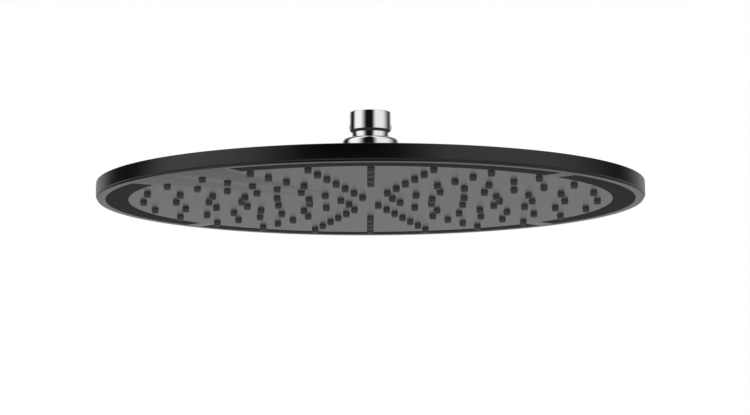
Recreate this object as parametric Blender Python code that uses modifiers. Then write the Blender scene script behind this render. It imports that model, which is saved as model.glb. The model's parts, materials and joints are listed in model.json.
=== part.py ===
"""Overhead rain shower head on a ball joint, built as the separate pieces it comes apart into.

Lengths are metres and +Z is up. The origin is the centre of the inlet mouth, where the shower
arm screws in. Profiles give radius and height above the spray face, which is BODY_DROP below
the origin. Angles round the head start at -Y, the front, and turn towards +X.
"""

import math

import bmesh
import bpy
from mathutils import Matrix

# Whole head
HEAD_RADIUS = 0.175
BODY_DROP = 0.0575  # from the inlet mouth down to the spray face
GAP = 0.0003  # between pieces that rest on each other
OVERRUN = 0.001  # how far a cutter reaches past what it cuts
RIM_STEPS = 48  # facets round the wide pieces
STEPS = 24  # facets round the connector, ball, collar and hub

# Ball joint
BALL_CENTRE = 0.0323
BALL_RADIUS = 0.0140
BALL_GAP = 0.00035
SLIP_RING_WALL = 0.0010
SLIP_RING_FROM = 68  # degrees down from the ball's top
SLIP_RING_TO = 88
SEAT_FROM = 104
SEAT_TO = 120
SEAL_FROM = 123.5
SEAL_TO = 134
SEAT_EDGE = 0.0002
SOCKET_RADIUS = BALL_RADIUS + BALL_GAP
COLLAR_SPHERE = SOCKET_RADIUS + SLIP_RING_WALL + BALL_GAP

# Inlet connector
CONNECTOR_RADIUS = 0.0131
RIM_ROUND = 0.0005
MOUTH_CHAMFER = 0.0004
CONE_TOP = 0.0458  # below here the connector narrows to its neck
NECK_TOP = 0.0441
NECK_RADIUS = 0.0117
LUG_HALF_ANGLE = 25  # the connector's two lugs stand out at its left and right
LUG_INNER = 0.0120
LUG_TOP = 0.0502
LUG_BOTTOM = CONE_TOP + 0.0002
LUG_OUTLINE = ((0.01315, LUG_TOP), (0.0137, 0.0485), (0.0138, 0.0477), (0.0137, 0.0468))
LUG_FOOT = 0.0132
THREAD_RADIUS = 0.0105  # a G1/2 female thread at its major diameter
THREAD_FLOOR = 0.0454
REGULATOR_BORE = 0.0076
REGULATOR_FLOOR = 0.0387
WATERWAY_RADIUS = 0.0055

# What sits inside the connector
WASHER_INNER = 0.0074
WASHER_OUTER = 0.0101
WASHER_THICK = 0.0024
SCREEN_RADIUS = 0.0071
SCREEN_THICK = 0.0005
SCREEN_HEIGHT = THREAD_FLOOR + 0.0012
SCREEN_HOLE = 0.0016
SCREEN_HOLE_CIRCLE = 0.0044
REGULATOR_TOP = THREAD_FLOOR - GAP
REGULATOR_FLANGE = 0.0073
REGULATOR_FLANGE_THICK = 0.0016
REGULATOR_BODY = 0.0055
REGULATOR_CHAMFER = 0.0008
REGULATOR_CUP = 0.0020
REGULATOR_CUP_DEPTH = 0.0021
REGULATOR_ORIFICE = 0.0012
REGULATOR_ORING = 0.0065
REGULATOR_ORING_ROUND = 0.0007

# Collar and hub
COLLAR_TOP = 0.0403
COLLAR_RADIUS = 0.0179
COLLAR_ROUND = 0.0026
COLLAR_MOUTH = 0.0147
GRIP_RADIUS = 0.0196
GRIP_TOP = 0.0330
GRIP_FLAT = 0.0187
COLLAR_BOTTOM = 0.0254
HUB_THREAD = 0.0172
HUB_TOP = 0.0295
HUB_POCKET = 0.0152
POCKET_FLOOR = 0.0219
HUB_OUTLET = 0.0100
HUB_SKIRT = 0.0125
SKIRT_TOP = 0.0195
FLANGE_RADIUS = 0.0240
FLANGE_TOP = 0.0250
FLANGE_BOTTOM = 0.0231
STEM_RADIUS = 0.0164
STEM_BOTTOM = 0.0130
EDGE = 0.0004  # chamfer on the turned metal edges
GASKET_INSET = 0.0010
LOCK_WASHER_RADIUS = 0.0225
LOCK_WASHER_THICK = 0.0010
LOCK_NUT_RADIUS = 0.0240
LOCK_NUT_THICK = 0.0035

# Top shell
SHELL_WALL = 0.0026
WALL_TOP = 0.0108
WALL_BELLY = 0.0055  # the side wall is widest here
WALL_LEAN = 0.0002
WALL_FOOT = 0.0009
FOOT_CHAMFER = 0.0008
TOP_CHAMFER = 0.0005
WALL_INSIDE = 0.1705
DOME_RISE = 0.0106
DOME_RADIUS = 0.1742
DOME_STATIONS = (0.032, 0.080, 0.130)
CROWN_RADIUS = 0.027
CROWN_TOP = 0.0215

# Spray face
LIP_RADIUS = 0.1739
LIP_TOP = WALL_FOOT - GAP
LIP_CHAMFER = 0.0004
SPIGOT_RADIUS = 0.1702
SPIGOT_TOP = 0.0044
ORING_GROOVE = 0.1686
GROOVE_BOTTOM = 0.0020
GROOVE_TOP = 0.0040
ORING_ROUND = 0.00065
FACE_THICK = 0.0022
FACE_STEP = 0.151  # inside this radius the plate is only FACE_THICK
INLAY_INNER = 0.1545
INLAY_OUTER = 0.1688
INLAY_THICK = 0.0010
POCKET_DEPTH = INLAY_THICK + GAP
SPOKE_HALF_ANGLE = 2.3
WIDE_SPOKE_HALF_ANGLE = 15  # the plain stretch at the front left
INLAY_STEP = 6  # degrees per facet

# Nozzles
NOZZLE_FIRST_RING = 0.0196
NOZZLE_RING_PITCH = 0.0209
NOZZLE_SPOKES = 24
NOZZLE_SIDES = 6
NOZZLE_RADIUS = 0.0022
NOZZLE_DROP = 0.0025
NOZZLE_HOLE = NOZZLE_RADIUS + GAP + 0.00004
BORE_SIDES = 4
BORE_TOP_RADIUS = 0.0013
BORE_TIP_RADIUS = 0.0006
MAT_RADIUS = 0.1497
MAT_BOTTOM = FACE_THICK + GAP
MAT_TOP = MAT_BOTTOM + 0.0015

# Clamp plate
PLATE_BOTTOM = MAT_TOP + GAP
PLATE_TOP = PLATE_BOTTOM + 0.0020
PLATE_ARMS = 6
ARM_HALF_WIDTH = 0.0030
WINDOW_BANDS = ((0.010, 0.0485), (0.0535, 0.0890), (0.0965, 0.1320), (0.1370, 0.1476))

# Screws
SCREW_SIDES = 6
SCREW_HEAD = 0.0028
SCREW_HEAD_TALL = 0.0014
SCREW_SHANK = 0.00125
SCREW_LENGTH = 0.0068
SCREW_POINT = 0.0002
SOCKET = 0.0012
SOCKET_DEPTH = 0.0009
PILOT_RADIUS = SCREW_SHANK + GAP
PILOT_SIDES = 6
RIM_SCREWS = 8
RIM_SCREW_CIRCLE = 0.1616
RIM_SCREW_SEAT = 0.0030
BOSS_RADIUS = 0.0040
BOSS_SIDES = 10
BOSS_TOP = 0.0104
PILOT_TOP = 0.0089
SCREW_SINK = SCREW_HEAD + 0.0004
SINK_SIDES = 8
POST_RADIUS = 0.0032
POST_SIDES = 8
POST_BOTTOM = 0.0012
POST_PILOT_BOTTOM = 0.0009
FIRST_POST = 7.5  # degrees from the front
POST_CIRCLE = NOZZLE_FIRST_RING + 3.5 * NOZZLE_RING_PITCH
CLAMP_SCREW_TOP = 0.0080


def clear_scene():
    for old in list(bpy.data.objects):
        bpy.data.objects.remove(old)


def new_collection(name):
    collection = bpy.data.collections.new(name)
    bpy.context.scene.collection.children.link(collection)
    return collection


def material(name, colour, roughness, metallic=0.0):
    made = bpy.data.materials.new(name)
    made.use_nodes = True
    shader = made.node_tree.nodes["Principled BSDF"]
    shader.inputs["Base Color"].default_value = (*colour, 1.0)
    shader.inputs["Roughness"].default_value = roughness
    shader.inputs["Metallic"].default_value = metallic
    return made


def polar(radius, angle):
    """A point on a circle round the head, at an angle in degrees from the front."""
    turn = math.radians(angle)
    return radius * math.sin(turn), -radius * math.cos(turn)


def ball_arc(radius, start, end, steps):
    """Profile points on a sphere round the ball's centre, at angles down from its top."""
    points = []
    for step in range(steps + 1):
        angle = math.radians(start + (end - start) * step / steps)
        points.append((radius * math.sin(angle), BALL_CENTRE + radius * math.cos(angle)))
    return points


def round_arc(centre, radius, start, end, steps):
    """Profile points on a small arc, at angles in degrees up from the outward direction."""
    points = []
    for step in range(steps + 1):
        angle = math.radians(start + (end - start) * step / steps)
        points.append((centre[0] + radius * math.cos(angle), centre[1] + radius * math.sin(angle)))
    return points


def add_object(name, mesh, parent, collection):
    """An object whose mesh heights are measured from the spray face."""
    made = bpy.data.objects.new(name, mesh)
    collection.objects.link(made)
    made.parent = parent
    height = parent["height"] if parent else 0.0
    made.location.z = -BODY_DROP - height
    return made


def add_pivot(name, height, parent):
    """An empty on the vertical axis, at a height in the part's own frame."""
    pivot = bpy.data.objects.new(name, None)
    parts.objects.link(pivot)
    pivot.parent = parent
    pivot.location.z = height - (parent["height"] if parent else 0.0)
    pivot["height"] = height
    return pivot


def finish_mesh(mesh):
    mesh.shade_smooth()
    mesh.set_sharp_from_angle(angle=math.radians(32))
    return mesh


def turned_mesh(name, profile, steps, closed=True, start=None, end=None):
    """A profile turned about Z. An open profile, or a part turn, gets flat end faces."""
    outline = bpy.data.meshes.new(name + "_profile")
    edges = [(i, i + 1) for i in range(len(profile) - 1)]
    if closed:
        edges.append((len(profile) - 1, 0))
    outline.from_pydata([(r, 0.0, z) for r, z in profile], edges, [])
    lathe = bpy.data.objects.new(name + "_lathe", outline)
    bpy.context.scene.collection.objects.link(lathe)
    screw = lathe.modifiers.new("Turn", "SCREW")
    screw.axis = "Z"
    screw.steps = steps
    screw.render_steps = steps
    screw.use_merge_vertices = True
    screw.merge_threshold = 0.00001
    if start is not None:
        screw.angle = math.radians(end - start)
        lathe.rotation_euler.z = math.radians(start - 90)
    bpy.context.view_layer.update()
    graph = bpy.context.evaluated_depsgraph_get()
    mesh = bpy.data.meshes.new_from_object(lathe.evaluated_get(graph))
    mesh.transform(lathe.matrix_world)
    mesh.name = name
    bpy.data.objects.remove(lathe)
    bpy.data.meshes.remove(outline)
    shape = bmesh.new()
    shape.from_mesh(mesh)
    bmesh.ops.remove_doubles(shape, verts=shape.verts, dist=0.000001)
    bmesh.ops.holes_fill(shape, edges=[edge for edge in shape.edges if edge.is_boundary], sides=0)
    bmesh.ops.recalc_face_normals(shape, faces=shape.faces)
    shape.to_mesh(mesh)
    shape.free()
    return finish_mesh(mesh)


def rods_mesh(name, centres, sides, low_radius, high_radius, bottom, top):
    """One mesh of upright rods, or cones, at the centres, each turned to face the axis."""
    shape = bmesh.new()
    for x, y in centres:
        turn = Matrix.Rotation(math.atan2(y, x), 4, "Z")
        bmesh.ops.create_cone(
            shape,
            cap_ends=True,
            segments=sides,
            radius1=low_radius,
            radius2=high_radius,
            depth=top - bottom,
            matrix=Matrix.Translation((x, y, (top + bottom) / 2)) @ turn,
        )
    mesh = bpy.data.meshes.new(name)
    shape.to_mesh(mesh)
    shape.free()
    return mesh


def box_mesh(name, y, width, depth, bottom, top):
    """An upright box, centred left to right, in front of or behind the axis."""
    middle = Matrix.Translation((0.0, y, (top + bottom) / 2))
    shape = bmesh.new()
    size = Matrix.Diagonal((width, depth, top - bottom, 1.0))
    bmesh.ops.create_cube(shape, size=1.0, matrix=middle @ size)
    mesh = bpy.data.meshes.new(name)
    shape.to_mesh(mesh)
    shape.free()
    return mesh


def combine(target, tool, operation):
    """Cuts a helper from the target, or joins it on, and hides the helper."""
    tool.hide_render = True
    tool.display_type = "WIRE"
    boolean = target.modifiers.new(tool.name, "BOOLEAN")
    boolean.operation = operation
    boolean.solver = "EXACT"
    boolean.object = tool


def shape_with(target, name, mesh, operation="DIFFERENCE"):
    combine(target, add_object(name, mesh, target.parent, cutters), operation)


def drill(target, name, centres, sides, radius, bottom, top):
    """Round holes through the target, all of one size."""
    shape_with(target, name, rods_mesh(name, centres, sides, radius, radius, bottom, top))


def ring(inner, outer, bottom, top):
    """A rectangular ring section, listed down its outer side."""
    return [(inner, top), (outer, top), (outer, bottom), (inner, bottom)]


def torus_section(radius, height, thickness, sides):
    """A round ring section, listed down its outer side."""
    points = round_arc((radius, height), thickness, 90, 90 - 360, sides)
    return points[:-1]


def add_turned(name, profile, parent, finish, steps=STEPS, closed=True):
    made = add_object(name, turned_mesh(name, profile, steps, closed), parent, parts)
    made.data.materials.append(finish)
    return made


def nozzle_centres():
    """Spokes every 15 degrees: even ones hold the outer rings, odd ones reach further in."""
    centres = []
    for spoke in range(NOZZLE_SPOKES):
        first = 3 if spoke % 2 == 0 else 1
        if spoke % 4 == 3:
            first = 0
        for count in range(first, 7):
            radius = NOZZLE_FIRST_RING + count * NOZZLE_RING_PITCH
            centres.append(polar(radius, spoke * 360 / NOZZLE_SPOKES))
    return centres


def add_connector(parent):
    rim_centre = (CONNECTOR_RADIUS - RIM_ROUND, BODY_DROP - RIM_ROUND)
    profile = [(THREAD_RADIUS + MOUTH_CHAMFER, BODY_DROP)]
    profile += round_arc(rim_centre, RIM_ROUND, 90, 0, 2)
    profile += [(CONNECTOR_RADIUS, CONE_TOP), (NECK_RADIUS, NECK_TOP)]
    ball_top = math.degrees(math.asin(NECK_RADIUS / BALL_RADIUS))
    profile += ball_arc(BALL_RADIUS, ball_top, 150, 7)
    ball_bottom = profile[-1][1]
    profile += [
        (WATERWAY_RADIUS, ball_bottom),
        (WATERWAY_RADIUS, REGULATOR_FLOOR),
        (REGULATOR_BORE, REGULATOR_FLOOR),
        (REGULATOR_BORE, THREAD_FLOOR),
        (THREAD_RADIUS, THREAD_FLOOR),
        (THREAD_RADIUS, BODY_DROP - MOUTH_CHAMFER),
    ]
    connector = add_turned("inlet_connector", profile, parent, chrome)

    lug = [(LUG_INNER, LUG_TOP), *LUG_OUTLINE, (LUG_FOOT, LUG_BOTTOM), (LUG_INNER, LUG_BOTTOM)]
    for side in (-90, 90):
        start = side - LUG_HALF_ANGLE
        end = side + LUG_HALF_ANGLE
        shape_with(connector, "lug", turned_mesh("lug", lug, 4, start=start, end=end), "UNION")


def add_washer_and_screen(parent):
    washer_bottom = THREAD_FLOOR + GAP
    washer = ring(WASHER_INNER, WASHER_OUTER, washer_bottom, washer_bottom + WASHER_THICK)
    add_turned("inlet_washer", washer, parent, rubber)

    screen_top = SCREEN_HEIGHT + SCREEN_THICK
    screen_profile = [(SCREEN_RADIUS, screen_top), (SCREEN_RADIUS, SCREEN_HEIGHT)]
    screen = add_turned("filter_screen", screen_profile, parent, steel, closed=False)
    holes = [(0.0, 0.0)] + [polar(SCREEN_HOLE_CIRCLE, 60 * turn) for turn in range(6)]
    bottom = SCREEN_HEIGHT - OVERRUN
    drill(screen, "screen_holes", holes, 6, SCREEN_HOLE, bottom, screen_top + OVERRUN)


def add_regulator(parent):
    flange_bottom = REGULATOR_TOP - REGULATOR_FLANGE_THICK
    bottom = REGULATOR_FLOOR + GAP
    profile = [
        (REGULATOR_CUP, REGULATOR_TOP),
        (REGULATOR_FLANGE, REGULATOR_TOP),
        (REGULATOR_FLANGE, flange_bottom),
        (REGULATOR_BODY, flange_bottom),
        (REGULATOR_BODY, bottom + REGULATOR_CHAMFER),
        (REGULATOR_BODY - REGULATOR_CHAMFER, bottom),
        (REGULATOR_ORIFICE, bottom),
        (REGULATOR_ORIFICE, REGULATOR_TOP - REGULATOR_CUP_DEPTH),
    ]
    add_turned("flow_regulator", profile, parent, acetal)
    oring_height = flange_bottom - REGULATOR_ORING_ROUND - GAP
    oring = torus_section(REGULATOR_ORING, oring_height, REGULATOR_ORING_ROUND, 6)
    add_turned("regulator_oring", oring, parent, rubber)


def add_ball_rings(tilt_parent, seat_parent):
    outer = ball_arc(SOCKET_RADIUS + SLIP_RING_WALL, SLIP_RING_FROM, SLIP_RING_TO, 3)
    inner = ball_arc(SOCKET_RADIUS, SLIP_RING_TO, SLIP_RING_FROM, 3)
    add_turned("ball_slip_ring", outer + inner, tilt_parent, acetal)

    inner = ball_arc(SOCKET_RADIUS, SEAT_TO, SEAT_FROM, 3)
    outside = HUB_POCKET - GAP
    bottom = inner[0][1] - SEAT_EDGE
    seat = [(outside, inner[-1][1]), (outside, bottom), (inner[0][0], bottom)]
    add_turned("ball_seat", seat + inner, seat_parent, acetal)


def add_ball_seal(parent):
    inner = ball_arc(SOCKET_RADIUS, SEAL_TO, SEAL_FROM, 3)
    outside = HUB_POCKET - GAP
    top = inner[-1][1] + SEAT_EDGE
    bottom = POCKET_FLOOR + GAP
    seal = [(outside, top), (outside, bottom), (inner[0][0], bottom)]
    add_turned("ball_seal", seal + inner + [(inner[-1][0] + SEAT_EDGE, top)], parent, rubber)


def add_collar(parent):
    corner = (COLLAR_RADIUS - COLLAR_ROUND, COLLAR_TOP - COLLAR_ROUND)
    profile = [(COLLAR_MOUTH, COLLAR_TOP)]
    profile += round_arc(corner, COLLAR_ROUND, 90, 0, 3)
    profile += [
        (COLLAR_RADIUS, GRIP_TOP + GRIP_RADIUS - COLLAR_RADIUS),
        (GRIP_RADIUS, GRIP_TOP),
        (GRIP_RADIUS, COLLAR_BOTTOM + EDGE),
        (GRIP_RADIUS - EDGE, COLLAR_BOTTOM),
        (HUB_THREAD + GAP, COLLAR_BOTTOM),
        (HUB_THREAD + GAP, HUB_TOP + EDGE),
    ]
    profile += ball_arc(COLLAR_SPHERE, 97, 66, 4)
    collar = add_turned("collar_nut", profile, parent, chrome)
    depth = GRIP_RADIUS / 2
    for side in (-1, 1):
        middle = side * (GRIP_FLAT + depth / 2)
        bottom = COLLAR_BOTTOM - OVERRUN
        block = box_mesh("wrench_flat", middle, 2 * GRIP_RADIUS, depth, bottom, GRIP_TOP)
        shape_with(collar, "wrench_flat", block)


def add_hub(parent):
    profile = [
        (HUB_POCKET + EDGE, HUB_TOP),
        (HUB_THREAD - EDGE, HUB_TOP),
        (HUB_THREAD, HUB_TOP - EDGE),
        (HUB_THREAD, FLANGE_TOP),
        (FLANGE_RADIUS - EDGE, FLANGE_TOP),
        (FLANGE_RADIUS, FLANGE_TOP - EDGE),
        (FLANGE_RADIUS, FLANGE_BOTTOM),
        (STEM_RADIUS, FLANGE_BOTTOM),
        (STEM_RADIUS, STEM_BOTTOM),
        (HUB_SKIRT, STEM_BOTTOM),
        (HUB_SKIRT, SKIRT_TOP),
        (HUB_OUTLET, SKIRT_TOP),
        (HUB_OUTLET, POCKET_FLOOR),
        (HUB_POCKET, POCKET_FLOOR),
        (HUB_POCKET, HUB_TOP - EDGE),
    ]
    add_turned("hub", profile, parent, chrome)


def add_hub_fastening(parent):
    """The gasket, washer and nut that hold the shell against the hub's flange."""
    hole = STEM_RADIUS + GAP
    gasket = ring(hole, FLANGE_RADIUS - GASKET_INSET, CROWN_TOP + GAP, FLANGE_BOTTOM - GAP)
    add_turned("hub_gasket", gasket, parent, rubber)

    washer_top = CROWN_TOP - SHELL_WALL - GAP
    washer_bottom = washer_top - LOCK_WASHER_THICK
    washer = ring(hole, LOCK_WASHER_RADIUS, washer_bottom, washer_top)
    add_turned("lock_washer", washer, parent, steel)

    nut_top = washer_bottom - GAP
    nut_bottom = nut_top - LOCK_NUT_THICK
    axis = [(0.0, 0.0)]
    nut_mesh = rods_mesh("lock_nut", axis, 6, LOCK_NUT_RADIUS, LOCK_NUT_RADIUS, nut_bottom, nut_top)
    nut = add_object("lock_nut", finish_mesh(nut_mesh), parent, parts)
    nut.data.materials.append(brass)
    bore = hole / math.cos(math.pi / STEPS)
    drill(nut, "nut_bore", axis, STEPS, bore, nut_bottom - OVERRUN, nut_top + OVERRUN)


def dome_height(radius):
    return WALL_TOP + DOME_RISE * (1 - (radius / DOME_RADIUS) ** 2)


def add_shell(parent):
    hole = STEM_RADIUS + GAP
    profile = [(hole, CROWN_TOP), (CROWN_RADIUS, CROWN_TOP)]
    profile += [(r, dome_height(r)) for r in (*DOME_STATIONS, DOME_RADIUS)]
    profile += [
        (HEAD_RADIUS - WALL_LEAN, WALL_TOP - TOP_CHAMFER),
        (HEAD_RADIUS, WALL_BELLY),
        (HEAD_RADIUS - WALL_LEAN, WALL_FOOT + FOOT_CHAMFER),
        (HEAD_RADIUS - WALL_LEAN - FOOT_CHAMFER, WALL_FOOT),
        (WALL_INSIDE, WALL_FOOT),
        (WALL_INSIDE, dome_height(WALL_INSIDE) - SHELL_WALL),
    ]
    profile += [(r, dome_height(r) - SHELL_WALL) for r in reversed(DOME_STATIONS)]
    profile += [(CROWN_RADIUS, CROWN_TOP - SHELL_WALL), (hole, CROWN_TOP - SHELL_WALL)]
    shell = add_turned("top_shell", profile, parent, black_plastic, steps=RIM_STEPS)
    centres = rim_screw_centres()
    boss_bottom = SPIGOT_TOP + GAP
    radius = BOSS_RADIUS
    bosses = rods_mesh("shell_bosses", centres, BOSS_SIDES, radius, radius, boss_bottom, BOSS_TOP)
    shape_with(shell, "shell_bosses", bosses, "UNION")
    pilot_bottom = boss_bottom - OVERRUN
    drill(shell, "shell_pilots", centres, PILOT_SIDES, PILOT_RADIUS, pilot_bottom, PILOT_TOP)

    groove_middle = (GROOVE_BOTTOM + GROOVE_TOP) / 2
    oring = torus_section((ORING_GROOVE + WALL_INSIDE) / 2, groove_middle, ORING_ROUND, 5)
    add_turned("rim_oring", oring, parent, rubber, steps=RIM_STEPS)


def rim_screw_centres():
    return [polar(RIM_SCREW_CIRCLE, 360 * (count + 0.5) / RIM_SCREWS) for count in range(RIM_SCREWS)]


def post_centres():
    return [polar(POST_CIRCLE, FIRST_POST + 360 * arm / PLATE_ARMS) for arm in range(PLATE_ARMS)]


def inlay_spans():
    """Name, first angle and last angle of each dark band, which the spokes keep apart."""
    narrow = SPOKE_HALF_ANGLE
    wide = WIDE_SPOKE_HALF_ANGLE
    return (
        ("front", -45 + wide, 45 - narrow),
        ("right", 45 + narrow, 135 - narrow),
        ("back", 135 + narrow, 225 - narrow),
        ("left", 225 + narrow, 315 - wide),
    )


def add_face(parent):
    profile = [
        (FACE_STEP, FACE_THICK),
        (FACE_STEP, SPIGOT_TOP),
        (SPIGOT_RADIUS, SPIGOT_TOP),
        (SPIGOT_RADIUS, GROOVE_TOP),
        (ORING_GROOVE, GROOVE_TOP),
        (ORING_GROOVE, GROOVE_BOTTOM),
        (SPIGOT_RADIUS, GROOVE_BOTTOM),
        (SPIGOT_RADIUS, LIP_TOP),
        (LIP_RADIUS, LIP_TOP),
        (LIP_RADIUS, LIP_CHAMFER),
        (LIP_RADIUS - LIP_CHAMFER, 0.0),
    ]
    face = add_turned("spray_face", profile, parent, satin_plastic, steps=RIM_STEPS, closed=False)
    centres = post_centres()
    radius = POST_RADIUS
    posts = rods_mesh("face_posts", centres, POST_SIDES, radius, radius, POST_BOTTOM, MAT_TOP)
    shape_with(face, "face_posts", posts, "UNION")
    add_inlays(face, parent)
    holes_top = FACE_THICK + OVERRUN
    drill(face, "nozzle_holes", nozzle_centres(), NOZZLE_SIDES, NOZZLE_HOLE, -OVERRUN, holes_top)
    screws = rim_screw_centres()
    sink_bottom = POCKET_DEPTH - OVERRUN
    drill(face, "screw_sinks", screws, SINK_SIDES, SCREW_SINK, sink_bottom, RIM_SCREW_SEAT + GAP)
    way_bottom = RIM_SCREW_SEAT - OVERRUN
    drill(face, "screw_ways", screws, PILOT_SIDES, PILOT_RADIUS, way_bottom, SPIGOT_TOP + OVERRUN)
    pilot_top = MAT_TOP + OVERRUN
    drill(face, "post_pilots", centres, PILOT_SIDES, PILOT_RADIUS, POST_PILOT_BOTTOM, pilot_top)


def add_inlays(face, parent):
    """The dark bands, each in a pocket that leaves a gap all round it."""
    for name, start, end in inlay_spans():
        edge = math.degrees(GAP / INLAY_INNER)
        steps = round((end - start) / INLAY_STEP)
        pocket = ring(INLAY_INNER - GAP, INLAY_OUTER + GAP, -OVERRUN, POCKET_DEPTH)
        pocket_mesh = turned_mesh("pocket_" + name, pocket, steps, start=start - edge, end=end + edge)
        shape_with(face, "pocket_" + name, pocket_mesh)
        band = ring(INLAY_INNER, INLAY_OUTER, 0.0, INLAY_THICK)
        band_mesh = turned_mesh("inlay_" + name, band, steps, start=start, end=end)
        inlay = add_object("inlay_" + name, band_mesh, parent, parts)
        inlay.data.materials.append(matte_plastic)


def add_mat(parent):
    profile = [(MAT_RADIUS, MAT_TOP), (MAT_RADIUS, MAT_BOTTOM)]
    mat = add_turned("nozzle_mat", profile, parent, silicone, steps=RIM_STEPS, closed=False)
    centres = nozzle_centres()
    middle = (MAT_BOTTOM + MAT_TOP) / 2
    radius = NOZZLE_RADIUS
    pegs = rods_mesh("nozzle_pegs", centres, NOZZLE_SIDES, radius, radius, -NOZZLE_DROP, middle)
    shape_with(mat, "nozzle_pegs", pegs, "UNION")
    bottom = -NOZZLE_DROP - OVERRUN
    top = MAT_TOP + OVERRUN
    bores = rods_mesh("nozzle_bores", centres, BORE_SIDES, BORE_TIP_RADIUS, BORE_TOP_RADIUS, bottom, top)
    shape_with(mat, "nozzle_bores", bores)
    drill(mat, "mat_holes", post_centres(), POST_SIDES, POST_RADIUS + GAP, 0.0, top)


def add_clamp_plate(parent):
    bottom = PLATE_BOTTOM - OVERRUN
    top = PLATE_TOP + OVERRUN
    profile = [(MAT_RADIUS, PLATE_TOP), (MAT_RADIUS, PLATE_BOTTOM)]
    plate = add_turned("clamp_plate", profile, parent, satin_plastic, steps=RIM_STEPS, closed=False)
    for band, (inner, outer) in enumerate(WINDOW_BANDS):
        half = math.degrees(math.asin(ARM_HALF_WIDTH / inner))
        for arm in range(PLATE_ARMS):
            start = FIRST_POST + 360 * arm / PLATE_ARMS + half
            end = FIRST_POST + 360 * (arm + 1) / PLATE_ARMS - half
            window = ring(inner, outer, bottom, top)
            name = f"window_{band}_{arm}"
            shape_with(plate, name, turned_mesh(name, window, 3, start=start, end=end))
    drill(plate, "plate_holes", post_centres(), PILOT_SIDES, PILOT_RADIUS, bottom, top)


def add_screws(parent):
    """The same screw all round: its head's drive side is at height 0 and it points up."""
    profile = [
        (0.0, SCREW_LENGTH),
        (SCREW_SHANK, SCREW_LENGTH - SCREW_POINT),
        (SCREW_SHANK, SCREW_HEAD_TALL),
        (SCREW_HEAD, SCREW_HEAD_TALL),
        (SCREW_HEAD, 0.0),
        (SOCKET, 0.0),
        (SOCKET, SOCKET_DEPTH),
        (0.0, SOCKET_DEPTH),
    ]
    mesh = turned_mesh("screw", profile, SCREW_SIDES, closed=False)
    mesh.materials.append(steel)
    for count, (x, y) in enumerate(rim_screw_centres()):
        screw = add_object(f"rim_screw_{count + 1}", mesh, parent, parts)
        screw.location.x = x
        screw.location.y = y
        screw.location.z += RIM_SCREW_SEAT - SCREW_HEAD_TALL
    for count, (x, y) in enumerate(post_centres()):
        screw = add_object(f"clamp_screw_{count + 1}", mesh, parent, parts)
        screw.location.x = x
        screw.location.y = y
        screw.location.z += CLAMP_SCREW_TOP
        screw.rotation_euler.x = math.pi


clear_scene()
parts = new_collection("rain_shower_head")
cutters = new_collection("cutters")

chrome = material("chrome", (0.80, 0.80, 0.81), 0.06, 1.0)
brass = material("brass", (0.62, 0.47, 0.22), 0.30, 1.0)
steel = material("steel", (0.55, 0.55, 0.56), 0.35, 1.0)
black_plastic = material("black_plastic", (0.006, 0.006, 0.007), 0.10)
satin_plastic = material("satin_plastic", (0.030, 0.030, 0.032), 0.35)
matte_plastic = material("matte_plastic", (0.020, 0.020, 0.021), 0.80)
acetal = material("acetal", (0.018, 0.018, 0.019), 0.40)
silicone = material("silicone", (0.110, 0.110, 0.112), 0.60)
rubber = material("rubber", (0.015, 0.015, 0.016), 0.70)

ball_height = BALL_CENTRE - BODY_DROP
front_back_tilt = add_pivot("front_back_tilt", ball_height, None)
side_tilt = add_pivot("side_tilt", ball_height, front_back_tilt)
head_spin = add_pivot("head_spin", ball_height, side_tilt)

add_connector(None)
add_washer_and_screen(None)
add_regulator(None)
add_ball_rings(front_back_tilt, side_tilt)
add_ball_seal(head_spin)
add_collar(head_spin)
add_hub(head_spin)
add_hub_fastening(head_spin)
add_shell(head_spin)
add_face(head_spin)
add_mat(head_spin)
add_clamp_plate(head_spin)
add_screws(head_spin)
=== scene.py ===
"""The looks of an overhead rain shower head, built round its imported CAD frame.

Lengths are metres in the CAD's frame. Turned profiles give radius and height above the spray
face. Angles round the head start at -Y, the front, and turn towards +X.
"""

import json
import math

import bmesh
import bpy
from mathutils import Matrix, Vector


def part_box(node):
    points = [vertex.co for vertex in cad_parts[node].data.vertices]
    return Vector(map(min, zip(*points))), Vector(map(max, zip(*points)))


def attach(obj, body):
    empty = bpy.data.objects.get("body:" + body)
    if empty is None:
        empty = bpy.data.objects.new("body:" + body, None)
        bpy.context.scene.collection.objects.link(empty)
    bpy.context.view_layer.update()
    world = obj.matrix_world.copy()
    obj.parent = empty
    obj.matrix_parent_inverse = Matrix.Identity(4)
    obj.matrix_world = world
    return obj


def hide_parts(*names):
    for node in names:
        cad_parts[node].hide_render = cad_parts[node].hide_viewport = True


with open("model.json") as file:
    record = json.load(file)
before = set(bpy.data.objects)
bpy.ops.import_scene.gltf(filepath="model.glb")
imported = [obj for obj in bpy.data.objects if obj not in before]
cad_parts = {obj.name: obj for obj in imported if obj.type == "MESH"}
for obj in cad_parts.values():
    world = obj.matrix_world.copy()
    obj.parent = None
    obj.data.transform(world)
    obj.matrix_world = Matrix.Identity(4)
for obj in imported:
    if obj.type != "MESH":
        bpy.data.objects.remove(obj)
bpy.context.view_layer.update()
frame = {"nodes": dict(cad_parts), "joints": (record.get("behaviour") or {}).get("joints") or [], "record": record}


def low(node):
    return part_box(node)[0]


def high(node):
    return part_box(node)[1]


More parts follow.
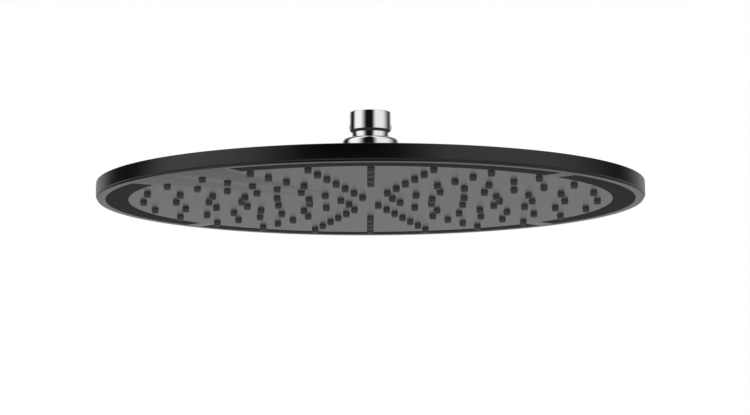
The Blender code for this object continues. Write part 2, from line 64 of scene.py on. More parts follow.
# Places read from the CAD
FACE_Z = low("inlay_front").z
HEAD_RADIUS = high("top_shell").x
SHELL_FOOT = low("top_shell").z - FACE_Z
INLET_TOP = high("inlet_connector").z - FACE_Z
BALL_RADIUS = high("inlet_connector").x  # the CAD's ball is wider than its lugs
COLLAR_TOP = high("collar_nut").z - FACE_Z
COLLAR_BOTTOM = low("collar_nut").z - FACE_Z
GRIP_RADIUS = high("collar_nut").x
GRIP_FLAT = high("collar_nut").y
HUB_TOP = high("hub").z - FACE_Z
HUB_BOTTOM = low("hub").z - FACE_Z
FLANGE_RADIUS = high("hub").x
CROWN_TOP = high("top_shell").z - FACE_Z
LIP_RADIUS = high("spray_face").x
SPIGOT_TOP = high("spray_face").z - FACE_Z
MAT_RADIUS = high("nozzle_mat").x
MAT_TOP = high("nozzle_mat").z - FACE_Z
NOZZLE_TIP = low("nozzle_mat").z - FACE_Z
INLAY_THICK = high("inlay_front").z - FACE_Z
BALL_Z = Vector(frame["joints"][0]["pos_m"]).z - FACE_Z

# How finely turned pieces are cut
RIM_STEPS = 240
GRIP_STEPS = 240
STEPS = 120
SMALL_STEPS = 24
SHARP_ANGLE = 35  # degrees between faces that keep a crease
GRIP_SHARP_ANGLE = 25
ON_AXIS = 1e-7  # a profile point nearer the axis than this is one vertex

# Nozzles, as the CAD lays them out
NOZZLE_FIRST_RING = 0.0196
NOZZLE_RING_PITCH = 0.0209
NOZZLE_SPOKES = 24
NOZZLE_BASE_RADIUS = 0.0023
NOZZLE_TIP_RADIUS = 0.00205
NOZZLE_HOLE = 0.0025

# Dark bands in the rim
BAND_INNER = 0.1545
BAND_OUTER = 0.1688
SPOKE_HALF_ANGLE = 2.3
WIDE_SPOKE_HALF_ANGLE = 15
BAND_GAP = 0.00012

# Camera, floor and lamp
CAMERA_DISTANCE = 2.0915
CAMERA_BELOW = 7.79  # degrees below the spray face's plane
CAMERA_ASIDE = -0.1  # degrees round from the front
CAMERA_ROLL = 0.2
CAMERA_LENS = 157.1
AIM_RIGHT = 0.0028
AIM_DOWN = 0.0040
FLOOR_DROP = 2.2
FLOOR_SIZE = 80.0
LAMP_PLACE = (-0.8, -0.6, 2.2)
LAMP_SIZE = 2.4
LAMP_POWER = 60


# ---------------------------------------------------------------- mesh helpers


def polar(radius, angle):
    turn = math.radians(angle)
    return radius * math.sin(turn), -radius * math.cos(turn)


def arc(centre, radius, start, end, steps):
    """Profile points on an arc, at angles in degrees up from the outward direction."""
    points = []
    for step in range(steps + 1):
        angle = math.radians(start + (end - start) * step / steps)
        points.append((centre[0] + radius * math.cos(angle), centre[1] + radius * math.sin(angle)))
    return points


def ball_arc(radius, start, end, steps):
    """Profile points on a sphere round the ball's centre, at angles down from its top."""
    return arc((0.0, BALL_Z), radius, 90 - start, 90 - end, steps)


def new_piece(name, mesh):
    mesh.name = name
    piece = bpy.data.objects.new(name, mesh)
    bpy.context.scene.collection.objects.link(piece)
    return piece


def smooth(mesh, angle=SHARP_ANGLE):
    mesh.shade_smooth()
    mesh.set_sharp_from_angle(angle=math.radians(angle))


def turned_bmesh(profile, steps, closed=True, start=0.0, end=360.0):
    """A profile, listed down its outer side, turned about the head's axis."""
    whole = end - start > 359.9
    count = steps if whole else steps + 1
    shape = bmesh.new()
    rings = []
    for radius, height in profile:
        if radius < ON_AXIS:
            rings.append([shape.verts.new((0.0, 0.0, FACE_Z + height))] * count)
            continue
        ring = []
        for step in range(count):
            x, y = polar(radius, start + (end - start) * step / steps)
            ring.append(shape.verts.new((x, y, FACE_Z + height)))
        rings.append(ring)
    pairs = list(zip(rings[:-1], rings[1:]))
    if closed:
        pairs.append((rings[-1], rings[0]))
    for upper, lower in pairs:
        for step in range(steps):
            after = (step + 1) % count
            corners = [upper[step], lower[step], lower[after], upper[after]]
            kept = list(dict.fromkeys(corners))
            if len(kept) > 2:
                shape.faces.new(kept)
    if not whole:
        for index in (0, -1):
            shape.faces.new([ring[index] for ring in rings])
    bmesh.ops.recalc_face_normals(shape, faces=shape.faces)
    return shape


def turned(name, profile, steps=STEPS, closed=True, start=0.0, end=360.0):
    shape = turned_bmesh(profile, steps, closed, start, end)
    mesh = bpy.data.meshes.new(name)
    shape.to_mesh(mesh)
    shape.free()
    smooth(mesh)
    return new_piece(name, mesh)


def copies(name, profile, steps, centres, closed=True):
    """One mesh of the same turned shape at each centre."""
    single = turned_bmesh(profile, steps, closed)
    template = bpy.data.meshes.new(name + "_one")
    single.to_mesh(template)
    single.free()
    shape = bmesh.new()
    for x, y in centres:
        first = len(shape.verts)
        shape.from_mesh(template)
        shape.verts.ensure_lookup_table()
        bmesh.ops.translate(shape, verts=shape.verts[first:], vec=(x, y, 0.0))
    mesh = bpy.data.meshes.new(name)
    shape.to_mesh(mesh)
    shape.free()
    bpy.data.meshes.remove(template)
    smooth(mesh)
    return new_piece(name, mesh)


def cut(piece, cutter):
    """Cuts the cutter out of the piece, applies the cut and removes the cutter."""
    boolean = piece.modifiers.new("Cut", "BOOLEAN")
    boolean.operation = "DIFFERENCE"
    boolean.solver = "EXACT"
    boolean.object = cutter
    bpy.context.view_layer.update()
    graph = bpy.context.evaluated_depsgraph_get()
    made = bpy.data.meshes.new_from_object(piece.evaluated_get(graph))
    piece.modifiers.clear()
    piece.data = made
    smooth(made)
    bpy.data.objects.remove(cutter)


def nozzle_centres():
    """Spokes every 15 degrees: even ones hold the outer rings, odd ones reach further in."""
    centres = []
    for spoke in range(NOZZLE_SPOKES):
        first = 3 if spoke % 2 == 0 else 1
        if spoke % 4 == 3:
            first = 0
        for count in range(first, 7):
            radius = NOZZLE_FIRST_RING + count * NOZZLE_RING_PITCH
            centres.append(polar(radius, spoke * 360 / NOZZLE_SPOKES))
    return centres


# ------------------------------------------------------------------- materials

NOISE_LOW = 0.3  # nearly all of the noise lies between these two
NOISE_HIGH = 0.7


class Surface:
    """A Principled material whose colour, roughness and bump come from procedural noise."""

    def __init__(self, name, roughness, metallic=0.0, **fixed):
        self.material = bpy.data.materials.new(name)
        self.material.use_nodes = True
        self.tree = self.material.node_tree
        self.shader = self.tree.nodes["Principled BSDF"]
        self.shader.inputs["Roughness"].default_value = roughness
        self.shader.inputs["Metallic"].default_value = metallic
        for socket, value in fixed.items():
            self.shader.inputs[socket.replace("_", " ")].default_value = value
        self.place = self.tree.nodes.new("ShaderNodeTexCoord").outputs["Object"]
        self.last_bump = None

    def link(self, output, socket):
        self.tree.links.new(output, socket)

    def noise(self, scale, detail=4.0, stretch=None):
        node = self.tree.nodes.new("ShaderNodeTexNoise")
        node.inputs["Scale"].default_value = scale
        node.inputs["Detail"].default_value = detail
        source = self.place
        if stretch:
            mapping = self.tree.nodes.new("ShaderNodeMapping")
            mapping.inputs["Scale"].default_value = stretch
            self.link(self.place, mapping.inputs["Vector"])
            source = mapping.outputs["Vector"]
        self.link(source, node.inputs["Vector"])
        return node.outputs["Fac"]

    def colour(self, field, dark, light):
        ramp = self.tree.nodes.new("ShaderNodeValToRGB")
        ends = zip(ramp.color_ramp.elements, (NOISE_LOW, NOISE_HIGH), (dark, light))
        for stop, position, shade in ends:
            stop.position = position
            stop.color = (*shade, 1.0)
        self.link(field, ramp.inputs["Fac"])
        self.link(ramp.outputs["Color"], self.shader.inputs["Base Color"])
        return self

    def roughness(self, field, least, most):
        spread = self.tree.nodes.new("ShaderNodeMapRange")
        spread.inputs["From Min"].default_value = NOISE_LOW
        spread.inputs["From Max"].default_value = NOISE_HIGH
        spread.inputs["To Min"].default_value = least
        spread.inputs["To Max"].default_value = most
        self.link(field, spread.inputs["Value"])
        self.link(spread.outputs["Result"], self.shader.inputs["Roughness"])
        return self

    def bump(self, field, depth, strength=1.0):
        node = self.tree.nodes.new("ShaderNodeBump")
        node.inputs["Strength"].default_value = strength
        node.inputs["Distance"].default_value = depth
        self.link(field, node.inputs["Height"])
        if self.last_bump:
            self.link(self.last_bump, node.inputs["Normal"])
        self.last_bump = node.outputs["Normal"]
        self.link(self.last_bump, self.shader.inputs["Normal"])
        return self


def make_chrome():
    made = Surface("chrome_plate", 0.03, 1.0)
    made.colour(made.noise(60), (0.84, 0.84, 0.845), (0.88, 0.88, 0.885))
    made.roughness(made.noise(220), 0.02, 0.05)
    return made.bump(made.noise(35, 1.0), 0.00001)


def make_gloss_black():
    made = Surface("gloss_black", 0.24, Specular_IOR_Level=0.5)
    made.colour(made.noise(40), (0.0018, 0.0018, 0.0019), (0.0030, 0.0030, 0.0031))
    made.roughness(made.noise(150), 0.20, 0.25)
    return made.bump(made.noise(60, 1.0), 0.00002, 0.5)


def make_satin_black():
    made = Surface("satin_black", 0.20, Specular_IOR_Level=0.5)
    made.colour(made.noise(300), (0.016, 0.016, 0.0165), (0.021, 0.021, 0.0215))
    made.roughness(made.noise(700), 0.18, 0.22)
    return made.bump(made.noise(2200, 2.0), 0.000004, 0.5)


def make_matt_black():
    made = Surface("matt_black", 0.85, Specular_IOR_Level=0.25)
    made.colour(made.noise(400), (0.014, 0.014, 0.0145), (0.020, 0.020, 0.0205))
    made.roughness(made.noise(900), 0.80, 0.92)
    return made.bump(made.noise(2600, 3.0), 0.00002, 0.6)


def make_silicone():
    made = Surface("silicone", 0.55, Specular_IOR_Level=0.4)
    made.colour(made.noise(500), (0.100, 0.100, 0.102), (0.125, 0.125, 0.127))
    made.roughness(made.noise(1500), 0.48, 0.62)
    return made.bump(made.noise(3000), 0.00001, 0.5)


def make_rubber():
    made = Surface("nitrile_rubber", 0.7, Specular_IOR_Level=0.3)
    made.colour(made.noise(600), (0.010, 0.010, 0.0105), (0.018, 0.018, 0.0185))
    made.roughness(made.noise(1200), 0.6, 0.8)
    return made.bump(made.noise(2500), 0.00002, 0.6)


def make_acetal():
    made = Surface("black_acetal", 0.4)
    made.colour(made.noise(250), (0.015, 0.015, 0.0155), (0.021, 0.021, 0.0215))
    made.roughness(made.noise(800), 0.34, 0.46)
    return made.bump(made.noise(1800), 0.00001, 0.5)


def make_satin_plastic():
    made = Surface("moulded_plate", 0.5)
    made.colour(made.noise(200), (0.028, 0.028, 0.029), (0.040, 0.040, 0.041))
    made.roughness(made.noise(900), 0.42, 0.58)
    return made.bump(made.noise(1800), 0.00001, 0.5)


def make_turned_metal(name, dark, light, least, most):
    """Metal with the fine circular marks that a lathe leaves."""
    made = Surface(name, most, 1.0)
    made.colour(made.noise(90), dark, light)
    marks = made.noise(400, 3.0, (1.0, 1.0, 12.0))
    made.roughness(marks, least, most)
    return made.bump(marks, 0.000006, 0.5)


chrome = make_chrome().material
gloss_black = make_gloss_black().material
satin_black = make_satin_black().material
matt_black = make_matt_black().material
silicone = make_silicone().material
rubber = make_rubber().material
acetal = make_acetal().material
plate_plastic = make_satin_plastic().material
brass = make_turned_metal(
    "turned_brass", (0.56, 0.41, 0.17), (0.66, 0.50, 0.24), 0.22, 0.34
).material
steel = make_turned_metal(
    "stainless_steel", (0.50, 0.50, 0.51), (0.60, 0.60, 0.61), 0.26, 0.38
).material


def dress(piece, body, slot, finish, *nodes):
    """Gives a piece its material and its body, and hides the CAD nodes it stands for; the slot argument is not
    used.
    """
    piece.data.materials.clear()
    piece.data.materials.append(finish)
    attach(piece, body)
    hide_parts(*nodes)


# ------------------------------------------------------------ inlet connector

CONNECTOR_RADIUS = 0.0131
CONNECTOR_ROUND = 0.0005
CONE_TOP = 0.0458  # below here the connector narrows to its neck
NECK_TOP = 0.0441
NECK_RADIUS = 0.0117
LUG_TOP = 0.0504
LUG_CREST_TOP = 0.0482
LUG_CREST_BOTTOM = 0.0472
LUG_BOTTOM = 0.0457
LUG_ARC = 0.0200  # seen from above, each lug's outline is flatter than the wall it grows from
LUG_FIRST = 66  # degrees round from the front, on either side
LUG_FADE = 100  # past here a lug sinks back into the wall
LUG_LAST = 135
THREAD_RADIUS = 0.0105
THREAD_CREST = 0.0094
THREAD_PITCH = 0.001814
THREAD_START = 0.0009
THREAD_FLOOR = 0.0454
THREAD_RUNOUT = 0.0016
THREAD_FADE = 0.0008
FLANK_TOP = 1.35  # the thread's flanks, cut off flat at the crest
FLANK_SLOPE = 3.6
WALL_LEVELS = 24
BORE_LEVELS = 64
CONE_BACK = 0.0004  # how far the wall stands back behind the cone
# Thickness of the dark ring of painted shade under the connector's wall
SHADE_RING_THICK = 0.0005
REGULATOR_BORE = 0.0076
REGULATOR_FLOOR = 0.0387
WATERWAY_RADIUS = 0.0055


def blend(start, end, value):
    """A smooth step from 0 at the start to 1 at the end."""
    share = min(1.0, max(0.0, (value - start) / (end - start)))
    return share * share * (3 - 2 * share)


def lug_radius(x, y, height):
    """The outside radius where a lug swells out of the wall at the left or right."""
    turn = math.degrees(math.atan2(abs(x), -y))
    if turn < LUG_FIRST:
        return CONNECTOR_RADIUS
    inward = LUG_ARC - CONNECTOR_RADIUS
    along = inward * math.cos(math.radians(turn - LUG_FIRST))
    swell = math.sqrt(along**2 + LUG_ARC**2 - inward**2) - along - CONNECTOR_RADIUS
    crest = blend(LUG_TOP, LUG_CREST_TOP, height) * blend(LUG_BOTTOM, LUG_CREST_BOTTOM, height)
    return CONNECTOR_RADIUS + swell * crest * blend(LUG_LAST, LUG_FADE, turn)


def thread_radius(x, y, height):
    """The bore's radius where a right-hand thread passes, fading out at both ends."""
    turn = math.atan2(y, x) / (2 * math.pi)
    phase = (height / THREAD_PITCH - turn) % 1.0
    ridge = max(0.0, min(1.0, FLANK_TOP - FLANK_SLOPE * abs(phase - 0.5)))
    top_fade = min(1.0, max(0.0, (INLET_TOP - THREAD_START - height) / THREAD_FADE))
    floor_fade = min(1.0, max(0.0, (height - THREAD_FLOOR - THREAD_RUNOUT) / THREAD_FADE))
    return THREAD_RADIUS - (THREAD_RADIUS - THREAD_CREST) * ridge * top_fade * floor_fade


def build_connector():
    rim = (CONNECTOR_RADIUS - CONNECTOR_ROUND, INLET_TOP - CONNECTOR_ROUND)
    profile = [(THREAD_RADIUS + CONNECTOR_ROUND, INLET_TOP)]
    profile += arc(rim, CONNECTOR_ROUND, 90, 0, 6)
    for level in range(1, WALL_LEVELS + 1):
        height = LUG_TOP + (CONE_TOP - LUG_TOP) * level / WALL_LEVELS
        profile.append((CONNECTOR_RADIUS, height))
    profile += [
        (CONNECTOR_RADIUS - CONE_BACK, CONE_TOP),
        (NECK_RADIUS - CONE_BACK, NECK_TOP),
        (NECK_RADIUS, NECK_TOP),
    ]
    ball_top = math.degrees(math.asin(NECK_RADIUS / BALL_RADIUS))
    profile += ball_arc(BALL_RADIUS, ball_top, 150, 40)
    ball_bottom = profile[-1][1]
    edge = 0.0003
    profile += [
        (WATERWAY_RADIUS + edge, ball_bottom),
        (WATERWAY_RADIUS, ball_bottom + edge),
        (WATERWAY_RADIUS, REGULATOR_FLOOR),
        (REGULATOR_BORE, REGULATOR_FLOOR),
        (REGULATOR_BORE, THREAD_FLOOR),
        (THREAD_RADIUS, THREAD_FLOOR),
    ]
    bore_top = INLET_TOP - CONNECTOR_ROUND
    for level in range(1, BORE_LEVELS + 1):
        height = THREAD_FLOOR + (bore_top - THREAD_FLOOR) * level / BORE_LEVELS
        profile.append((THREAD_RADIUS, height))
    piece = turned("connector", profile)
    close = 0.00001
    for vertex in piece.data.vertices:
        x, y, z = vertex.co
        height = z - FACE_Z
        radius = math.hypot(x, y)
        new_radius = radius
        if abs(radius - THREAD_RADIUS) < close and height > THREAD_FLOOR:
            new_radius = thread_radius(x, y, height)
        elif abs(radius - CONNECTOR_RADIUS) < close and height < LUG_TOP:
            new_radius = lug_radius(x, y, height)
        vertex.co = (x * new_radius / radius, y * new_radius / radius, z)
    smooth(piece.data)
    dress(piece, "inlet", "chrome", chrome, "inlet_connector")


def build_painted_shade_ring():
    """A dark silicone ring under the connector's wall, narrowing to the neck: painted shade, a dark piece standing
    in for the shadow in the groove between wall and neck.
    """
    edge = 0.0001
    profile = [(CONNECTOR_RADIUS - SHADE_RING_THICK, CONE_TOP), (CONNECTOR_RADIUS - edge, CONE_TOP)]
    profile += [(CONNECTOR_RADIUS, CONE_TOP - edge), (NECK_RADIUS + edge, NECK_TOP + edge)]
    profile += [(NECK_RADIUS, NECK_TOP), (NECK_RADIUS - SHADE_RING_THICK, NECK_TOP)]
    # The dark silicone here paints the groove's shadow rather than being a real seal
    dress(turned("painted_shade_ring", profile), "inlet", "silicone", silicone, "inlet_connector")


def build_washer():
    floor = low("inlet_washer").z - FACE_Z
    top = high("inlet_washer").z - FACE_Z
    outer = high("inlet_washer").x
    inner = 0.0074
    turn = 0.0004
    profile = arc((outer - turn, top - turn), turn, 90, 0, 4)
    profile += arc((outer - turn, floor + turn), turn, 0, -90, 4)
    profile += arc((inner + turn, floor + turn), turn, -90, -180, 4)
    profile += arc((inner + turn, top - turn), turn, 180, 90, 4)
    dress(turned("washer", profile), "inlet", "rubber", rubber, "inlet_washer")


def build_screen():
    """A woven filter disc: two layers of crossing wires inside a pressed rim."""
    middle = (low("filter_screen").z + high("filter_screen").z) / 2 - FACE_Z
    outer = high("filter_screen").x
    wire = 0.00012
    pitch = 0.0006
    rim_round = 0.00035
    reach = outer - 0.0004
    shape = bmesh.new()
    count = int(reach / pitch)
    for line in range(-count, count + 1):
        offset = line * pitch
        half = math.sqrt(reach**2 - offset**2)
        for across in (0, 1):
            turn = Matrix.Rotation(math.pi / 2, 4, "Y" if across else "X")
            place = Vector((0.0, offset, wire)) if across else Vector((offset, 0.0, -wire))
            place.z += FACE_Z + middle
            bmesh.ops.create_cone(
                shape,
                cap_ends=True,
                segments=6,
                radius1=wire,
                radius2=wire,
                depth=2 * half,
                matrix=Matrix.Translation(place) @ turn,
            )
    section = arc((outer - rim_round, middle), rim_round, 90, -240, 11)
    rim = turned_bmesh(section, 72)
    rim_mesh = bpy.data.meshes.new("screen_rim")
    rim.to_mesh(rim_mesh)
    rim.free()
    shape.from_mesh(rim_mesh)
    bpy.data.meshes.remove(rim_mesh)
    mesh = bpy.data.meshes.new("screen")
    shape.to_mesh(mesh)
    shape.free()
    smooth(mesh)
    dress(new_piece("screen", mesh), "inlet", "steel", steel, "filter_screen")


# ------------------------------------------------------------------ ball joint

SOCKET_RADIUS = 0.01435
SLIP_RING_WALL = 0.0010
SLIP_RING_FROM = 68  # degrees down from the ball's top
SLIP_RING_TO = 88


def build_slip_ring():
    profile = ball_arc(SOCKET_RADIUS + SLIP_RING_WALL, SLIP_RING_FROM, SLIP_RING_TO, 10)
    profile += ball_arc(SOCKET_RADIUS, SLIP_RING_TO, SLIP_RING_FROM, 10)
    dress(turned("slip_ring", profile), "slip_ring", "acetal", acetal, "ball_slip_ring")


# -------------------------------------------------------------- collar and hub

COLLAR_RADIUS = 0.0179
COLLAR_ROUND = 0.0026
COLLAR_MOUTH = 0.0147
GRIP_TOP = 0.0330
COLLAR_EDGE = 0.0004
MOUTH_EDGE = 0.0002
CONE_FILLET = 0.0005  # where the collar's side meets the cone above the grip
COLLAR_SPHERE = 0.0157
HUB_THREAD = 0.0172
THREAD_GAP = 0.0003
HUB_POCKET = 0.0152
POCKET_FLOOR = 0.0219
HUB_OUTLET = 0.0100
HUB_SKIRT = 0.0125
SKIRT_TOP = 0.0195
FLANGE_TOP = 0.0250
FLANGE_BOTTOM = 0.0231
STEM_RADIUS = 0.0164
HUB_EDGE = 0.0003


def build_collar():
    corner = (COLLAR_RADIUS - COLLAR_ROUND, COLLAR_TOP - COLLAR_ROUND)
    cone_top = GRIP_TOP + GRIP_RADIUS - COLLAR_RADIUS
    edge = COLLAR_EDGE
    profile = [(COLLAR_MOUTH, COLLAR_TOP - MOUTH_EDGE), (COLLAR_MOUTH + MOUTH_EDGE, COLLAR_TOP)]
    profile += arc(corner, COLLAR_ROUND, 90, 0, 14)
    fillet = (COLLAR_RADIUS + CONE_FILLET, cone_top + 0.0002)
    profile += arc(fillet, CONE_FILLET, 180, 225, 4)
    profile += arc((GRIP_RADIUS - edge, GRIP_TOP - 0.0002), edge, 45, 0, 4)
    profile += arc((GRIP_RADIUS - edge, COLLAR_BOTTOM + edge), edge, 0, -90, 5)
    profile += [
        (HUB_THREAD + 0.0006, COLLAR_BOTTOM),
        (HUB_THREAD + THREAD_GAP, COLLAR_BOTTOM + 0.0003),
        (HUB_THREAD + THREAD_GAP, HUB_TOP + 0.0004),
    ]
    profile += ball_arc(COLLAR_SPHERE, 97, 70, 12)
    piece = turned("collar", profile, GRIP_STEPS)
    for vertex in piece.data.vertices:
        if abs(vertex.co.y) > GRIP_FLAT:
            vertex.co.y = math.copysign(GRIP_FLAT, vertex.co.y)
    smooth(piece.data, GRIP_SHARP_ANGLE)
    dress(piece, "head", "chrome", chrome, "collar_nut")


def build_hub():
    edge = HUB_EDGE
    profile = [(HUB_POCKET + edge, HUB_TOP)]
    profile += arc((HUB_THREAD - edge, HUB_TOP - edge), edge, 90, 0, 4)
    profile.append((HUB_THREAD, FLANGE_TOP))
    profile += arc((FLANGE_RADIUS - edge, FLANGE_TOP - edge), edge, 90, 0, 4)
    profile += arc((FLANGE_RADIUS - edge, FLANGE_BOTTOM + edge), edge, 0, -90, 4)
    profile += [
        (STEM_RADIUS, FLANGE_BOTTOM),
        (STEM_RADIUS, HUB_BOTTOM),
        (HUB_SKIRT, HUB_BOTTOM),
        (HUB_SKIRT, SKIRT_TOP),
        (HUB_OUTLET, SKIRT_TOP),
        (HUB_OUTLET, POCKET_FLOOR),
        (HUB_POCKET, POCKET_FLOOR),
        (HUB_POCKET, HUB_TOP - edge),
    ]
    dress(turned("hub_nut", profile), "head", "chrome", chrome, "hub")


# ------------------------------------------------------------------- top shell

SHELL_WALL = 0.0026
WALL_TOP = 0.0108
WALL_BELLY = 0.0055
WALL_LEAN = 0.0002
WALL_INSIDE = 0.1705
DOME_RISE = 0.0106
DOME_RADIUS = 0.1742
DOME_STEPS = 40
DOME_REACH = 0.1725
CROWN_RADIUS = 0.027
CROWN_EDGE = 0.0004
CROWN_STEP = 0.0003  # the crown stands at least this far above the dome round it
SHELL_HOLE = 0.0167
INSIDE_STATIONS = (0.150, 0.130, 0.105, 0.080, 0.055, 0.032)


def dome_height(radius):
    return WALL_TOP + DOME_RISE * (1 - (radius / DOME_RADIUS) ** 2)


def wall_radius(height):
    """The side wall bulges a little, and is widest at WALL_BELLY."""
    away = (height - WALL_BELLY) / (WALL_TOP - WALL_BELLY)
    return HEAD_RADIUS - WALL_LEAN * away**2


def build_shell():
    top_round = 0.0006
    foot_round = 0.0009
    dome_start = CROWN_RADIUS + 0.0006
    profile = [(SHELL_HOLE, CROWN_TOP - 0.0003), (SHELL_HOLE + 0.0003, CROWN_TOP)]
    profile += arc((CROWN_RADIUS - CROWN_EDGE, CROWN_TOP - CROWN_EDGE), CROWN_EDGE, 90, 20, 4)
    for step in range(DOME_STEPS):
        radius = dome_start + (DOME_REACH - CROWN_RADIUS) * step / (DOME_STEPS - 1)
        profile.append((radius, min(dome_height(radius), CROWN_TOP - CROWN_STEP)))
    corner = wall_radius(WALL_TOP - top_round)
    profile += arc((corner - top_round, WALL_TOP - top_round), top_round, 80, 0, 6)
    wall_height = WALL_TOP - top_round - SHELL_FOOT - foot_round
    for step in range(1, 10):
        height = WALL_TOP - top_round - wall_height * step / 10
        profile.append((wall_radius(height), height))
    foot = wall_radius(SHELL_FOOT + foot_round)
    profile += arc((foot - foot_round, SHELL_FOOT + foot_round), foot_round, 0, -90, 8)
    profile.append((WALL_INSIDE, SHELL_FOOT))
    for radius in (WALL_INSIDE, *INSIDE_STATIONS):
        profile.append((radius, dome_height(radius) - SHELL_WALL))
    profile += [(CROWN_RADIUS, CROWN_TOP - SHELL_WALL), (SHELL_HOLE, CROWN_TOP - SHELL_WALL)]
    dress(turned("shell", profile, RIM_STEPS), "head", "black_plastic", gloss_black, "top_shell")


# ------------------------------------------------------- spray face and its bands

FACE_THICK = 0.0022
FACE_STEP = 0.151
SPIGOT_RADIUS = 0.1702
OVERRUN = 0.001  # how far a cutter reaches past what it cuts


def band_spans():
    """Name, first angle and last angle of each dark band, which the spokes keep apart."""
    narrow = SPOKE_HALF_ANGLE
    wide = WIDE_SPOKE_HALF_ANGLE
    return (
        ("front", -45 + wide, 45 - narrow),
        ("right", 45 + narrow, 135 - narrow),
        ("back", 135 + narrow, 225 - narrow),
        ("left", 225 + narrow, 315 - wide),
    )


def build_face():
    lip_top = SHELL_FOOT - 0.00004
    lip_edge = 0.0001
    profile = [(0.0, FACE_THICK), (FACE_STEP, FACE_THICK), (FACE_STEP, SPIGOT_TOP)]
    profile += [(SPIGOT_RADIUS, SPIGOT_TOP), (SPIGOT_RADIUS, lip_top)]
    profile += arc((LIP_RADIUS - lip_edge, lip_top - lip_edge), lip_edge, 90, 0, 3)
    profile += arc((LIP_RADIUS - lip_edge, lip_edge), lip_edge, 0, -90, 3)
    profile.append((0.0, 0.0))
    face = turned("face", profile, RIM_STEPS, closed=False)

    hole_top = FACE_THICK + OVERRUN
    hole = [(0.0, hole_top), (NOZZLE_HOLE, hole_top), (NOZZLE_HOLE, 0.00025)]
    hole += [(NOZZLE_HOLE + 0.00025, 0.0), (NOZZLE_HOLE + 0.00055, -0.0003), (0.0, -0.0003)]
    cut(face, copies("holes", hole, SMALL_STEPS, nozzle_centres(), closed=False))

    inner = BAND_INNER - BAND_GAP
    outer = BAND_OUTER + BAND_GAP
    pocket_top = INLAY_THICK + 0.0003
    pocket = [(inner, pocket_top), (outer, pocket_top), (outer, -OVERRUN), (inner, -OVERRUN)]
    edge = math.degrees(BAND_GAP / BAND_INNER)
    for _, start, end in band_spans():
        steps = round((end - start) * 2)
        cut(face, turned("pocket", pocket, steps, start=start - edge, end=end + edge))
    dress(face, "head", "satin_plastic", satin_black, "spray_face")


def build_bands():
    edge = 0.00015
    for name, start, end in band_spans():
        profile = [(BAND_INNER, INLAY_THICK), (BAND_OUTER, INLAY_THICK)]
        profile += arc((BAND_OUTER - edge, edge), edge, 0, -90, 3)
        profile += arc((BAND_INNER + edge, edge), edge, -90, -180, 3)
        piece = turned("band_" + name, profile, round((end - start) * 2), start=start, end=end)
        dress(piece, "head", "matte_plastic", matt_black, "inlay_" + name)


def build_nozzles():
    """The soft mat behind the face, with a tapered, round-tipped nozzle in each hole."""
    root = FACE_THICK + 0.0003
    tip_round = 0.00045
    bore = 0.0007
    profile = [(0.0, root + 0.0001), (NOZZLE_BASE_RADIUS, root + 0.0001), (NOZZLE_BASE_RADIUS, 0.0)]
    profile += arc((NOZZLE_TIP_RADIUS - tip_round, NOZZLE_TIP + tip_round), tip_round, 4, -80, 6)
    profile += [(bore + 0.0003, NOZZLE_TIP), (bore, NOZZLE_TIP + 0.0002)]
    profile += [(bore * 0.8, NOZZLE_TIP + 0.0016), (0.0, NOZZLE_TIP + 0.0016)]
    nozzles = copies("nozzles", profile, SMALL_STEPS, nozzle_centres(), closed=False)
    dress(nozzles, "head", "silicone", silicone, "nozzle_mat")
    sheet = [(0.0, MAT_TOP), (MAT_RADIUS, MAT_TOP), (MAT_RADIUS, root), (0.0, root)]
    mat = turned("mat", sheet, STEPS, closed=False)
    dress(mat, "head", "silicone", silicone, "nozzle_mat")


# --------------------------------------------------------- carried-over CAD nodes


def dress_cad_nodes():
    """The sealed inner pieces keep their CAD shape and get the finishes that fit them."""
    finishes = {
        "rubber": rubber,
        "acetal": acetal,
        "steel": steel,
        "brass": brass,
        "satin_plastic": plate_plastic,
    }
    slots = {entry["node"]: entry["material_slot"] for entry in frame["record"]["subparts"]}
    for name, node in frame["nodes"].items():
        if node.hide_render:
            continue
        node.data.materials.clear()
        node.data.materials.append(finishes[slots[name]])
        smooth(node.data)


# --------------------------------------------------------------- studio and camera


def build_floor():
    """A pale studio floor, as far below the head as a shower tray."""
    shape = bmesh.new()
    bmesh.ops.create_grid(shape, x_segments=1, y_segments=1, size=FLOOR_SIZE / 2)
    mesh = bpy.data.meshes.new("floor")
    shape.to_mesh(mesh)
    shape.free()
    floor = new_piece("floor", mesh)
    floor.location.z = -FLOOR_DROP
    surface = Surface("pale_floor", 0.9, Specular_IOR_Level=0.1)
    surface.colour(surface.noise(0.6), (0.846, 0.846, 0.846), (0.854, 0.854, 0.854))
    mesh.materials.append(surface.material)


# Brightness of the studio by direction: degrees round from the front towards +X, and radiance.
# One soft box stands to the left and a little in front, one to the front right, and the wall
# behind is half as bright.
STUDIO = (
    (-180, 0.50),
    (-152, 0.48),
    (-132, 0.02),
    (-114, 0.02),
    (-86, 1.03),
    (-61, 1.03),
    (-22, 0.007),
    (8, 0.007),
    (35, 0.93),
    (66, 0.93),
    (126, 0.04),
    (154, 0.48),
    (180, 0.50),
)


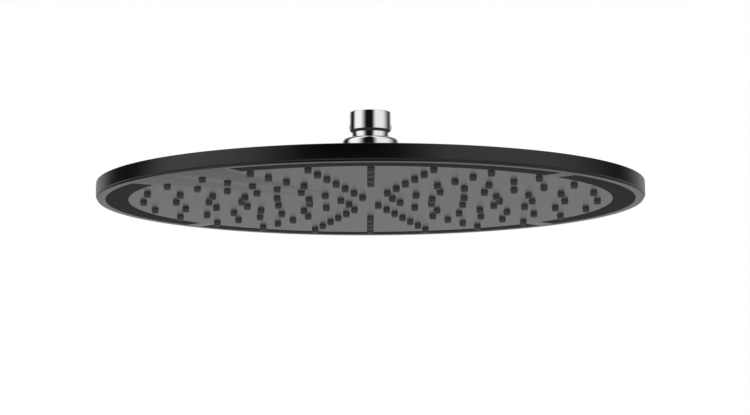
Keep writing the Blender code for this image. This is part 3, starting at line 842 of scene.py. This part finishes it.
def build_sky():
    """Tall soft boxes round the head, and plain white behind it for the camera."""
    world = bpy.data.worlds.new("studio")
    bpy.context.scene.world = world
    world.use_nodes = True
    tree = world.node_tree
    tree.nodes.clear()
    new = tree.nodes.new
    link = tree.links.new

    direction = new("ShaderNodeTexCoord").outputs["Generated"]
    parts = new("ShaderNodeSeparateXYZ")
    link(direction, parts.inputs["Vector"])
    forward = new("ShaderNodeMath")
    forward.operation = "MULTIPLY"
    forward.inputs[1].default_value = -1.0
    link(parts.outputs["Y"], forward.inputs[0])
    azimuth = new("ShaderNodeMath")
    azimuth.operation = "ARCTAN2"
    link(parts.outputs["X"], azimuth.inputs[0])
    link(forward.outputs["Value"], azimuth.inputs[1])
    share = new("ShaderNodeMapRange")
    share.inputs["From Min"].default_value = -math.pi
    share.inputs["From Max"].default_value = math.pi
    link(azimuth.outputs["Value"], share.inputs["Value"])

    boxes = new("ShaderNodeValToRGB")
    boxes.color_ramp.interpolation = "EASE"
    stops = boxes.color_ramp.elements
    while len(stops) < len(STUDIO):
        stops.new(0.5)
    for stop, (angle, radiance) in zip(stops, STUDIO):
        stop.position = (angle + 180) / 360
        stop.color = (radiance, radiance, radiance, 1.0)
    link(share.outputs["Result"], boxes.inputs["Fac"])

    studio = new("ShaderNodeBackground")
    link(boxes.outputs["Color"], studio.inputs["Color"])
    backdrop = new("ShaderNodeBackground")
    backdrop.inputs["Color"].default_value = (1.0, 1.0, 1.0, 1.0)
    seen = new("ShaderNodeLightPath")
    choose = new("ShaderNodeMixShader")
    link(seen.outputs["Is Camera Ray"], choose.inputs["Fac"])
    link(studio.outputs["Background"], choose.inputs[1])
    link(backdrop.outputs["Background"], choose.inputs[2])
    output = new("ShaderNodeOutputWorld")
    link(choose.outputs["Shader"], output.inputs["Surface"])


def build_lamp():
    """One large soft light overhead, which fills in the matt surfaces without a highlight."""
    lamp = bpy.data.lights.new("overhead", "AREA")
    lamp.shape = "SQUARE"
    lamp.size = LAMP_SIZE
    lamp.energy = LAMP_POWER
    holder = bpy.data.objects.new("overhead", lamp)
    bpy.context.scene.collection.objects.link(holder)
    holder.visible_glossy = False
    holder.location = LAMP_PLACE
    holder.rotation_euler = (-holder.location).to_track_quat("-Z", "Y").to_euler()


def build_camera():
    centre = Vector((0.0, 0.0, FACE_Z))
    below = math.radians(CAMERA_BELOW)
    x, y = polar(CAMERA_DISTANCE * math.cos(below), CAMERA_ASIDE)
    place = centre + Vector((x, y, -CAMERA_DISTANCE * math.sin(below)))
    aim = centre + Vector((AIM_RIGHT, 0.0, -AIM_DOWN))
    turn = (aim - place).to_track_quat("-Z", "Y").to_matrix().to_4x4()
    roll = Matrix.Rotation(-math.radians(CAMERA_ROLL), 4, "Z")
    data = bpy.data.cameras.new("camera")
    data.lens = CAMERA_LENS
    data.sensor_width = 36.0
    data.clip_end = 200.0
    camera = bpy.data.objects.new("camera", data)
    bpy.context.scene.collection.objects.link(camera)
    camera.matrix_world = Matrix.Translation(place) @ turn @ roll
    bpy.context.scene.camera = camera


build_camera()
build_floor()
build_sky()
build_lamp()
bpy.context.scene.view_settings.view_transform = "Standard"

build_connector()
build_painted_shade_ring()
build_washer()
build_screen()
build_slip_ring()
build_collar()
build_hub()
build_shell()
build_face()
build_bands()
build_nozzles()
dress_cad_nodes()
